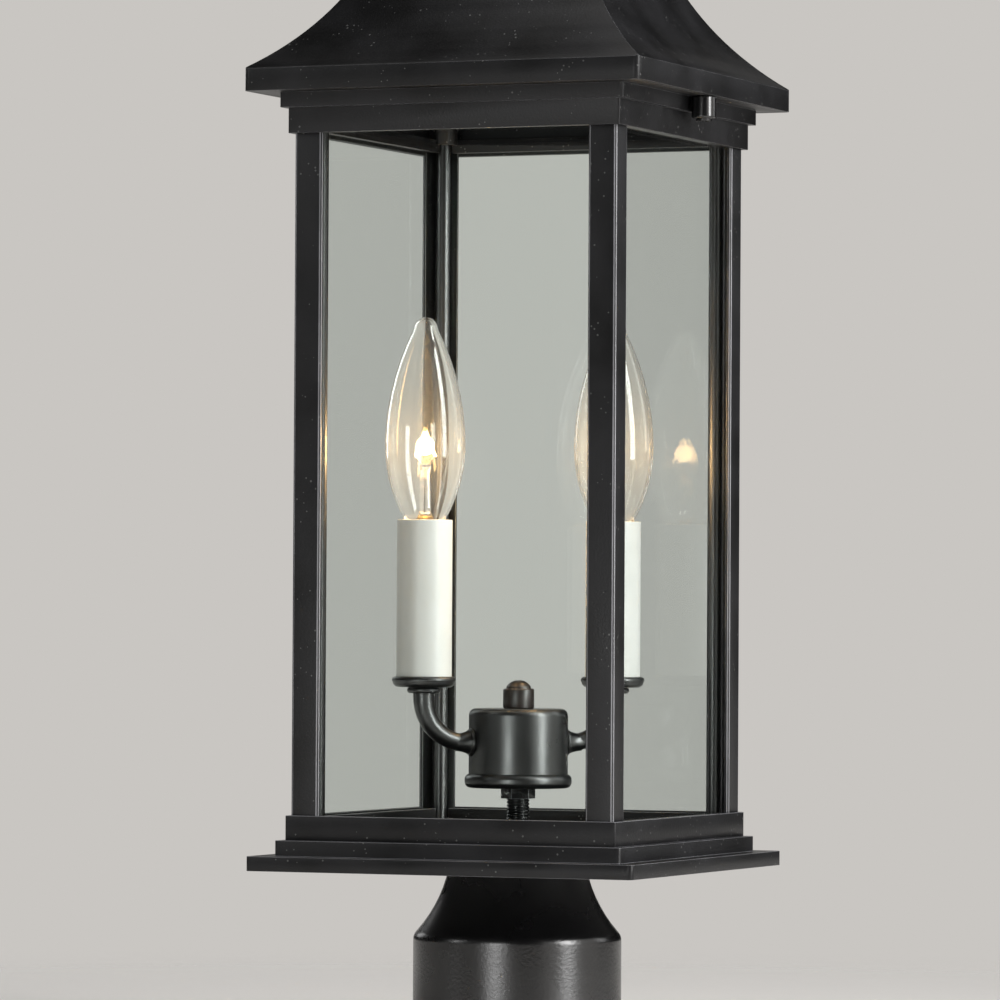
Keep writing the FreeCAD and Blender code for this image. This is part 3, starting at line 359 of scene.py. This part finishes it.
def eased_copy(node, material, easing):
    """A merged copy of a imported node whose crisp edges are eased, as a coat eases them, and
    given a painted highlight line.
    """
    bm = bmesh.new()
    bm.from_mesh(frame["nodes"][node].data)
    bmesh.ops.remove_doubles(bm, verts=bm.verts, dist=2e-6)
    bmesh.ops.dissolve_limit(bm, angle_limit=math.radians(0.3), verts=bm.verts, edges=bm.edges)
    finish_mesh(f"{node}_finish", bm, material, frame["nodes"][node]["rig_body"], (node,),
                easing=easing, turn_out=False)


def coat_node(node, material):
    """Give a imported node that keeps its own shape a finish."""
    mesh = frame["nodes"][node].data
    mesh.materials.clear()
    mesh.materials.append(material)


def trace(bm, corners, closed):
    """Draw a section at y = 0 from corners (r, z) in mm; a third number swings the run
    that leads to the corner about a centre on its left (+) or right (-) at that radius."""
    arc_step = 4.0
    first = last = bm.verts.new((corners[0][0] * MM, 0.0, corners[0][1] * MM))
    for corner in corners[1:]:
        target = Vector((corner[0] * MM, 0.0, corner[1] * MM))
        if len(corner) == 2:
            following = bm.verts.new(target)
            bm.edges.new((last, following))
            last = following
            continue
        chord = target - last.co
        radius = corner[2] * MM
        half = math.asin(min(1.0, chord.length / 2 / abs(radius)))
        left = Vector((-chord.z, 0.0, chord.x)).normalized()
        away = math.sqrt(max(radius ** 2 - (chord.length / 2) ** 2, 0.0))
        centre = (last.co + target) / 2 + left * math.copysign(away, radius)
        swung = bmesh.ops.spin(bm, geom=[last], cent=centre, axis=(0.0, -1.0, 0.0),
                               angle=math.copysign(2 * half, radius),
                               steps=max(3, round(math.degrees(2 * half) / arc_step)))
        last = swung["geom_last"][0]
    if closed:
        bm.edges.new((last, first))


def turned(name, corners, material, body, stands_for=(), closed=True, steps=96, place=None,
           sharp=EDGE_ANGLE):
    """A piece of revolution about the vertical axis, put in place by a matrix."""
    bm = bmesh.new()
    trace(bm, corners, closed)
    bmesh.ops.spin(bm, geom=bm.verts[:] + bm.edges[:], cent=(0, 0, 0), axis=(0, 0, 1),
                   angle=math.tau, steps=steps, use_merge=True)
    if place is not None:
        bmesh.ops.transform(bm, matrix=place, verts=bm.verts)
    finish_mesh(name, bm, material, body, stands_for, sharp)


def swept(name, stations, material, body, place, stands_for=(), resolution=10):
    """A round rod along a Bezier line; each station is x, z, radius and the x, z of the
    handles before and after it, all in mm."""
    curve = bpy.data.curves.new(name, "CURVE")
    curve.dimensions = "3D"
    curve.bevel_depth = MM
    curve.bevel_resolution = resolution
    curve.resolution_u = 20
    curve.use_fill_caps = True
    spline = curve.splines.new("BEZIER")
    spline.bezier_points.add(len(stations) - 1)
    for point, station in zip(spline.bezier_points, stations):
        x, z, radius, back_x, back_z, on_x, on_z = station
        point.co = (x * MM, 0, z * MM)
        point.radius = radius
        point.handle_left_type = point.handle_right_type = "FREE"
        point.handle_left = (back_x * MM, 0, back_z * MM)
        point.handle_right = (on_x * MM, 0, on_z * MM)
    rod = put_in_scene(name, curve)
    bm = bmesh.new()
    bm.from_mesh(rod.to_mesh())
    rod.to_mesh_clear()
    bpy.data.objects.remove(rod)
    bmesh.ops.transform(bm, matrix=place, verts=bm.verts)
    finish_mesh(f"{name}_piece", bm, material, body, stands_for, sharp=60)


def lifted(level):
    """Straight up from the origin to a level in mm."""
    return Matrix.Translation((0, 0, level * MM))


def upright_through(node):
    """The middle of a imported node's plan, at its lowest level, and its height in mm."""
    low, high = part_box(node)
    middle = Matrix.Translation(((low.x + high.x) / 2, (low.y + high.y) / 2, low.z))
    return middle, (high.z - low.z) / MM


def candle_place(side, level):
    """A candle's own axis at a level in mm: side is -1 for left and 1 for right."""
    yaw = math.radians(CLUSTER_YAW)
    return Matrix.Translation((CANDLE_OFFSET * math.cos(yaw) * side * MM,
                               CANDLE_OFFSET * math.sin(yaw) * side * MM, level * MM))


# ---------------------------------------------------------------- the lantern's frame

def fitter():
    """Cast cup with its drawn-in neck, and the lock nut and screws that hold it."""
    turned("fitter_casting", [
        (38.5, 0), (42.9, 0), (43.75, 0.9), (43.75, 46.8), (42.2, 50.7, 5.5),
        (29.0, 77.0, -58.0), (5.1, 77.0), (5.1, 73.0), (25.2, 73.0), (34.7, 44.0), (38.5, 44.0),
    ], fitter_enamel, "lantern_frame", ("post_fitter",), steps=128)
    coat_node("fitter_lock_nut", zinc_plate)
    for number in (1, 2, 3):
        coat_node(f"set_screw_{number}", black_oxide)


def window_frame():
    """Pan, frames and posts with eased arrises; panes, tubes and rods behind them."""
    for node in ("base_pan", "base_frame", "top_frame"):
        eased_copy(node, powder_coat, 0.5)
    for window in WINDOWS:
        coat_node(f"glass_{window}", float_glass)
    bore, wall = 2.3, 3.1
    for corner in CORNERS:
        eased_copy(f"corner_post_{corner}", powder_coat, 0.25)
        coat_node(f"tie_rod_{corner}", zinc_plate)
        place, tall = upright_through(f"tie_tube_{corner}")
        turned(f"tube_{corner}", [(bore, 0), (wall, 0), (wall, tall), (bore, tall)],
               cluster_enamel, "lantern_frame", (f"tie_tube_{corner}",), steps=48, place=place)


def roof():
    """Roof, cap and finial, with the two studs and their thumb nuts under the eave."""
    eased_copy("roof_shell", powder_coat, 0.7)
    eased_copy("roof_cap", powder_coat, 0.4)
    eased_copy("finial", powder_coat, 0.2)
    for side_name, _ in SIDES:
        coat_node(f"roof_stud_{side_name}", zinc_plate)
        node = f"thumb_nut_{side_name}"
        place, tall = upright_through(node)
        low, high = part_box(node)
        radius = (high.y - low.y) / 2 / MM
        turned(f"thumb_nut_turned_{side_name}", [
            (2.2, tall), (2.2, 1.0), (2.2, 0.0), (3.2, 0.0), (3.4, 0.9), (radius - 1.0, 1.0),
            (radius, 2.0, 1.0), (radius, tall - 0.6), (radius - 0.6, tall, 0.6),
        ], black_oxide, node, (node,), steps=64, place=place)


# ---------------------------------------------------------------- the candle cluster

def hub():
    """Spun can over its lid, the knob and the nuts."""
    turned("hub_can_spun", [
        (19.65, 0), (20.85, 0), (20.85, 24.4), (17.85, 27.4, 3.0), (4.9, 27.4), (4.9, 26.2),
        (17.85, 26.2), (19.65, 24.4, -1.8),
    ], cluster_enamel, "lantern_frame", ("hub_can",), place=lifted(LEVEL["hub_can"][0]))
    turned("hub_lid_spun", [
        (4.9, 0), (20.1, 0), (22.5, 2.4, 2.4), (22.5, 3.5), (20.1, 5.9, 2.4), (4.9, 5.9),
    ], cluster_enamel, "lantern_frame", ("hub_lid",), place=lifted(LEVEL["hub_lid"][0]))
    eased_copy("hub_knob", knob_enamel, 0.3)
    eased_copy("hub_nut", black_oxide, 0.35)
    eased_copy("pan_lock_nut", black_oxide, 0.35)


def lamp_pipe():
    """Steel pipe with a rolled thread, 18 turns to the inch, as one long ridge."""
    low, high = LEVEL["centre_nipple"]
    bore, core, root, crest = 3.55, 4.36, 4.3, 4.85
    turned("lamp_pipe_core", [(bore, 0), (core, 0), (core, high - low), (bore, high - low)],
           black_oxide, "lantern_frame", ("centre_nipple",), steps=48, place=lifted(low))
    pitch = 25.4 / 18
    turns = int((high - low) / pitch) - 1
    steps_a_turn = 24
    bm = bmesh.new()
    trace(bm, [(root, 0), (crest, pitch * 0.38), (crest, pitch * 0.56), (root, pitch * 0.97)],
          False)
    bmesh.ops.spin(bm, geom=bm.verts[:] + bm.edges[:], cent=(0, 0, 0), axis=(0, 0, 1),
                   dvec=(0, 0, pitch * MM / steps_a_turn), angle=math.tau * turns,
                   steps=steps_a_turn * turns)
    bmesh.ops.transform(bm, matrix=lifted(low), verts=bm.verts)
    finish_mesh("lamp_pipe_thread", bm, black_oxide, "lantern_frame", ("centre_nipple",),
                sharp=60)


def candle(side_name, side):
    """Collar, cup and tube of one candle, each turned about the candle's axis."""
    collar, cup, sleeve = (f"candle_{part}_{side_name}" for part in ("collar", "cup", "sleeve"))
    turned(f"collar_{side_name}", [
        (3.25, 0), (6.15, 0), (7.05, 1.28, 1.3), (6.15, 2.55, 1.3), (3.25, 2.55),
    ], cluster_enamel, "lantern_frame", (collar,), steps=64,
        place=candle_place(side, LEVEL[collar][0]))
    turned(f"cup_{side_name}", [
        (3.25, 0), (10.6, 0), (13.15, 2.2, 2.6), (12.4, 4.4, 1.4), (12.2, 4.5), (12.2, 3.7),
        (10.3, 3.7), (10.3, 2.0), (3.25, 2.0),
    ], cluster_enamel, "lantern_frame", (cup,), place=candle_place(side, LEVEL[cup][0]))
    low, high = LEVEL[sleeve]
    tall = high - low
    turned(f"candle_tube_{side_name}", [
        (10.6, 0), (11.6, 0), (11.6, tall - 0.3), (11.3, tall, 0.3), (10.9, tall),
        (10.6, tall - 0.3, 0.3),
    ], candle_tube, "lantern_frame", (sleeve,), place=candle_place(side, low))
    coat_node(f"socket_stem_{side_name}", zinc_plate)
    coat_node(f"lamp_socket_{side_name}", phenolic)
    coat_node(f"bulb_base_{side_name}", bulb_cap_brass)


def arm(side_name, side):
    """Tapered arm that bends up into the collar, with a spun flare against the hub."""
    yaw = math.radians(CLUSTER_YAW) + (math.pi if side < 0 else 0)
    place = lifted(ARM_AXIS) @ Matrix.Rotation(yaw, 4, "Z")
    bend = 18.0
    # A quarter circle's Bezier handles, as a share of its radius
    pull = bend * 0.5523
    start = CANDLE_OFFSET - bend
    swept(f"arm_{side_name}_bend", [
        (17.8, 0.0, 3.3, 17.0, 0.0, 19.5, 0.0),
        (start, 0.0, 3.5, 21.5, 0.0, start + pull, 0.0),
        (CANDLE_OFFSET, bend, 4.4, CANDLE_OFFSET, bend - pull, CANDLE_OFFSET, 19.0),
        (CANDLE_OFFSET, 20.55, 4.5, CANDLE_OFFSET, 19.8, CANDLE_OFFSET, 21.0),
    ], cluster_enamel, "lantern_frame", place, (f"arm_{side_name}",))
    turned(f"arm_flare_{side_name}", [
        (3.2, 20.3), (5.6, 20.3), (5.7, 21.3, 0.6), (5.0, 22.0, 0.8), (3.62, 27.6, -14.0),
        (3.2, 27.6),
    ], cluster_enamel, "lantern_frame", steps=48,
        place=place @ Matrix.Rotation(math.radians(90), 4, "Y"))


def torpedo_bulb(side_name, side):
    """Blown torpedo envelope over its glass foot."""
    place = candle_place(side, SLEEVE_TOP)
    body = f"bulb_{side_name}"
    turned(f"bulb_envelope_{side_name}", [
        (6.4, -4.0), (8.5, 0.0), (16.8, 31.0, 62.0), (5.1, 79.8, 108.0), (0.0, 84.9, 5.1),
        (0.0, 84.0), (4.2, 79.8, -4.2), (15.9, 31.0, -107.1), (7.6, 0.0, -61.1), (5.5, -4.0),
    ], blown_glass, body, (f"bulb_glass_{side_name}",), place=place, sharp=50)
    turned(f"bulb_foot_{side_name}", [
        (0, -4.0), (5.2, -4.0), (5.0, -1.0), (2.4, 6.0, -9.0), (2.0, 19.0), (2.5, 22.0),
        (1.2, 23.4, 1.4), (0, 23.4),
    ], blown_glass, body, (f"bulb_mount_{side_name}",), closed=False, steps=40, place=place,
        sharp=50)


def lit_filament(side_name, side):
    """Two legs of coiled wire leaning together, on nickel leads from the foot (mm)."""
    place = candle_place(side, SLEEVE_TOP)
    body = f"bulb_{side_name}"
    wire, coil, pitch, turns, steps_a_turn = 0.24, 0.45, 0.8, 14, 12
    foot, apex, spread = 26.6, 37.8, 4.6
    slope = math.atan2(spread, apex - foot)
    on_coil = Matrix.Translation((coil * MM, 0, 0)) @ Matrix.Rotation(math.radians(90), 4, "X")
    bm = bmesh.new()
    for lean in (-1, 1):
        ring = bmesh.ops.create_circle(bm, segments=6, radius=wire * MM, matrix=on_coil)
        edges = list({edge for vert in ring["verts"] for edge in vert.link_edges})
        before = set(bm.verts) - set(ring["verts"])
        bmesh.ops.spin(bm, geom=ring["verts"] + edges, cent=(0, 0, 0), axis=(0, 0, 1),
                       dvec=(0, 0, pitch * MM / steps_a_turn), angle=math.tau * turns,
                       steps=steps_a_turn * turns)
        leg = (Matrix.Translation((spread * lean * MM, 0, foot * MM))
               @ Matrix.Rotation(-slope * lean, 4, "Y"))
        bmesh.ops.transform(bm, matrix=place @ leg,
                            verts=[vert for vert in bm.verts if vert not in before])
    finish_mesh(f"filament_coil_{side_name}", bm, hot_filament, body,
                (f"bulb_filament_{side_name}",), sharp=80)
    lead = 0.25
    for label, lean in (("a", -1), ("b", 1)):
        swept(f"lead_{label}_{side_name}", [
            (1.0 * lean, 21.0, lead, 1.0 * lean, 20.0, 1.0 * lean, 23.5),
            (spread * lean, foot + 0.3, lead,
             (spread - 1.2) * lean, foot - 1.8, spread * lean, foot + 1),
        ], nickel_wire, body, place, resolution=2)


fitter()
window_frame()
roof()
hub()
lamp_pipe()
for side_name, side in SIDES:
    candle(side_name, side)
    arm(side_name, side)
    torpedo_bulb(side_name, side)
    lit_filament(side_name, side)


# ---------------------------------------------------------------- floor, light and camera

# The camera, fitted to the lantern's edges: place (m), angles, and focal length (mm) on a
# sensor 36 mm wide
CAMERA_PLACE = Vector((0.99059, -2.35547, 0.18464))
CAMERA_AZIMUTH = math.radians(22.995)
CAMERA_PITCH = math.radians(-1.053)
CAMERA_ROLL = math.radians(0.322)
CAMERA_LENS = 218.72
SENSOR_WIDTH = 36.0

FLOOR_RADIUS = 30.0
# The floor gives way to the even background between these distances from the middle (m)
FLOOR_FADE = (0.3, 0.8)
# What the lamps point at: this high on the lantern's axis (m)
AIM_LEVEL = 0.26
# Section of the dark screens: distance and level (mm)
FLAG_SECTION = [(1950, 5), (1950, 1500), (900, 2600)]

# Softboxes: bearing in degrees to the right of the camera, level, distance, width and
# height (m), and power (W). None stands where a pane would mirror it to the camera.
SOFTBOXES = {
    "key_right": (57, 0.75, 1.35, 0.38, 1.45, 21.0),
    "fill_left": (-24, 0.14, 1.7, 0.4, 0.26, 4.0),
    "rim_left": (-72, 0.8, 1.4, 0.22, 1.1, 3.2),
    "side_right": (108, 0.8, 1.5, 0.28, 1.2, 2.5),
    "back_left": (215, 0.8, 1.8, 0.4, 1.2, 3.0),
    "overhead": (30, 2.1, 0.5, 1.2, 1.2, 9.0),
}


def seen_share(material):
    """1 for what the camera sees, straight or by way of a mirror or glass, and else 0."""
    path = add(material, "LightPath")
    seen = add(material, "Math", operation="MAXIMUM",
               links={0: path.outputs["Is Camera Ray"], 1: path.outputs["Is Glossy Ray"]})
    shown = add(material, "Math", operation="MAXIMUM",
                links={0: seen.outputs["Value"], 1: path.outputs["Is Transmission Ray"]})
    return shown.outputs["Value"]


def studio_board():
    """Pale satin board: it takes the lantern's shadow nearby, mirrors the room at a low
    angle and lets the even background show further out."""
    material, surface, place = begin("pale_studio_board")
    fibre = add(material, "TexNoise", {"Scale": per_mm(3), "Detail": 4.0}, {"Vector": place})
    tone = add(material, "ValToRGB", links={"Fac": fibre.outputs["Fac"]},
               stops=[(0.3, "#E6E3DF"), (0.7, "#EAE7E3")])
    board = add(material, "BsdfPrincipled", {"Roughness": 0.32, "IOR": 1.25},
                {"Base Color": tone.outputs["Color"]})
    beyond = add(material, "BsdfTransparent")
    reach = add(material, "VectorMath", links={0: place}, operation="LENGTH")
    far = add(material, "MapRange", {"From Min": FLOOR_FADE[0], "From Max": FLOOR_FADE[1]},
              {"Value": reach.outputs["Value"]}, interpolation_type="SMOOTHSTEP")
    amount = add(material, "Math", operation="MULTIPLY",
                 links={0: far.outputs["Result"], 1: seen_share(material)})
    mix = add(material, "MixShader", links={0: amount.outputs["Value"],
                                            1: board.outputs["BSDF"], 2: beyond.outputs["BSDF"]})
    material.node_tree.links.new(mix.outputs["Shader"], surface)
    return material


def black_felt():
    """Dull dark felt, for black enamel and panes to mirror. Its nap is under 1 mm deep. It
    is drawn as 40 mm clouds, because no more of it shows in a reflection."""
    material, surface, place = begin("black_studio_felt")
    nap = add(material, "TexNoise", {"Scale": per_mm(40), "Detail": 4.0}, {"Vector": place})
    tone = add(material, "ValToRGB", links={"Fac": nap.outputs["Fac"]},
               stops=[(0.3, "#1C1C1C"), (0.7, "#262626")])
    felt = add(material, "BsdfPrincipled", {"Roughness": 1.0, "Specular IOR Level": 0.1},
               {"Base Color": tone.outputs["Color"]})
    material.node_tree.links.new(felt.outputs["BSDF"], surface)
    return material


def set_up(name, bm, material):
    """Make a bmesh a part of the studio, which isn't part of the lantern."""
    mesh = bpy.data.meshes.new(name)
    bm.to_mesh(mesh)
    bm.free()
    mesh.materials.append(material)
    sheet = put_in_scene(name, mesh)
    return sheet


def floor():
    """A round pale floor under the lantern."""
    bm = bmesh.new()
    bmesh.ops.create_circle(bm, cap_ends=True, segments=96, radius=FLOOR_RADIUS)
    set_up("studio_floor", bm, studio_board())


def room():
    """Even room light and, behind everything, an even pale tone."""
    world = bpy.data.worlds.new("studio_room")
    bpy.context.scene.world = world
    world.use_nodes = True
    world.node_tree.nodes.clear()
    light = add(world, "Background", {"Color": linear("#F2F4F6"), "Strength": 0.75})
    even = add(world, "Background", {"Color": linear("#C9C6C2"), "Strength": 1.0})
    mix = add(world, "MixShader", links={0: seen_share(world), 1: light.outputs["Background"],
                                         2: even.outputs["Background"]})
    add(world, "OutputWorld", links={"Surface": mix.outputs["Shader"]})


def bearing_angle(bearing):
    """Angle about the vertical axis of a bearing counted to the right of the camera."""
    return CAMERA_AZIMUTH - math.radians(90) + math.radians(bearing)


def flag(name, start, end, material):
    """A curved dark screen round part of the set, out of every view: it is there for the
    reflections in the enamel and the panes."""
    bm = bmesh.new()
    trace(bm, FLAG_SECTION, False)
    bmesh.ops.spin(bm, geom=bm.verts[:] + bm.edges[:], cent=(0, 0, 0), axis=(0, 0, 1),
                   angle=math.radians(end - start), steps=24)
    bmesh.ops.transform(bm, matrix=Matrix.Rotation(bearing_angle(start), 4, "Z"), verts=bm.verts)
    screen = set_up(name, bm, material)
    screen.visible_camera = False
    screen.visible_transmission = False


def softbox(name, bearing, level, distance, width, height, power):
    """A rectangular soft light that points at the lantern, unseen by the camera."""
    angle = bearing_angle(bearing)
    spot = Vector((math.cos(angle) * distance, math.sin(angle) * distance, level))
    lamp = bpy.data.lights.new(name, "AREA")
    lamp.shape = "RECTANGLE"
    lamp.size = width
    lamp.size_y = height
    lamp.energy = power
    holder = put_in_scene(name, lamp)
    holder.location = spot
    holder.rotation_euler = (spot - Vector((0, 0, AIM_LEVEL))).to_track_quat("Z", "Y").to_euler()
    holder.visible_camera = False


def bulb_light(side_name, side):
    """The filament's warm light on the tube's rim, the cup and the posts close by."""
    lamp = bpy.data.lights.new(f"bulb_light_{side_name}", "POINT")
    lamp.energy = 0.15
    lamp.color = linear("#FFCF94")[:3]
    lamp.shadow_soft_size = 0.004
    holder = put_in_scene(lamp.name, lamp)
    holder.location = candle_place(side, SLEEVE_TOP + FILAMENT_RISE).translation


def camera():
    """The camera at the photograph's viewing angle."""
    azimuth, pitch, roll = CAMERA_AZIMUTH, CAMERA_PITCH, CAMERA_ROLL
    back = Vector((math.sin(azimuth) * math.cos(pitch), -math.cos(azimuth) * math.cos(pitch),
                   math.sin(pitch)))
    right = Vector((math.cos(azimuth), math.sin(azimuth), 0))
    up = back.cross(right)
    rolled_right = math.cos(roll) * right + math.sin(roll) * up
    rolled_up = math.cos(roll) * up - math.sin(roll) * right
    lens = bpy.data.cameras.new("camera")
    lens.sensor_width = SENSOR_WIDTH
    lens.lens = CAMERA_LENS
    lens.clip_end = 100.0
    view = put_in_scene("camera", lens)
    turn = Matrix((rolled_right, rolled_up, back)).transposed().to_4x4()
    view.matrix_world = Matrix.Translation(CAMERA_PLACE) @ turn
    bpy.context.scene.camera = view


floor()
room()
felt = black_felt()
flag("flag_front_left", -165, 28, felt)
flag("flag_back_right", 100, 168, felt)
for name, setting in SOFTBOXES.items():
    softbox(name, *setting)
for side_name, side in SIDES:
    bulb_light(side_name, side)
camera()
bpy.context.scene.view_settings.view_transform = "Standard"
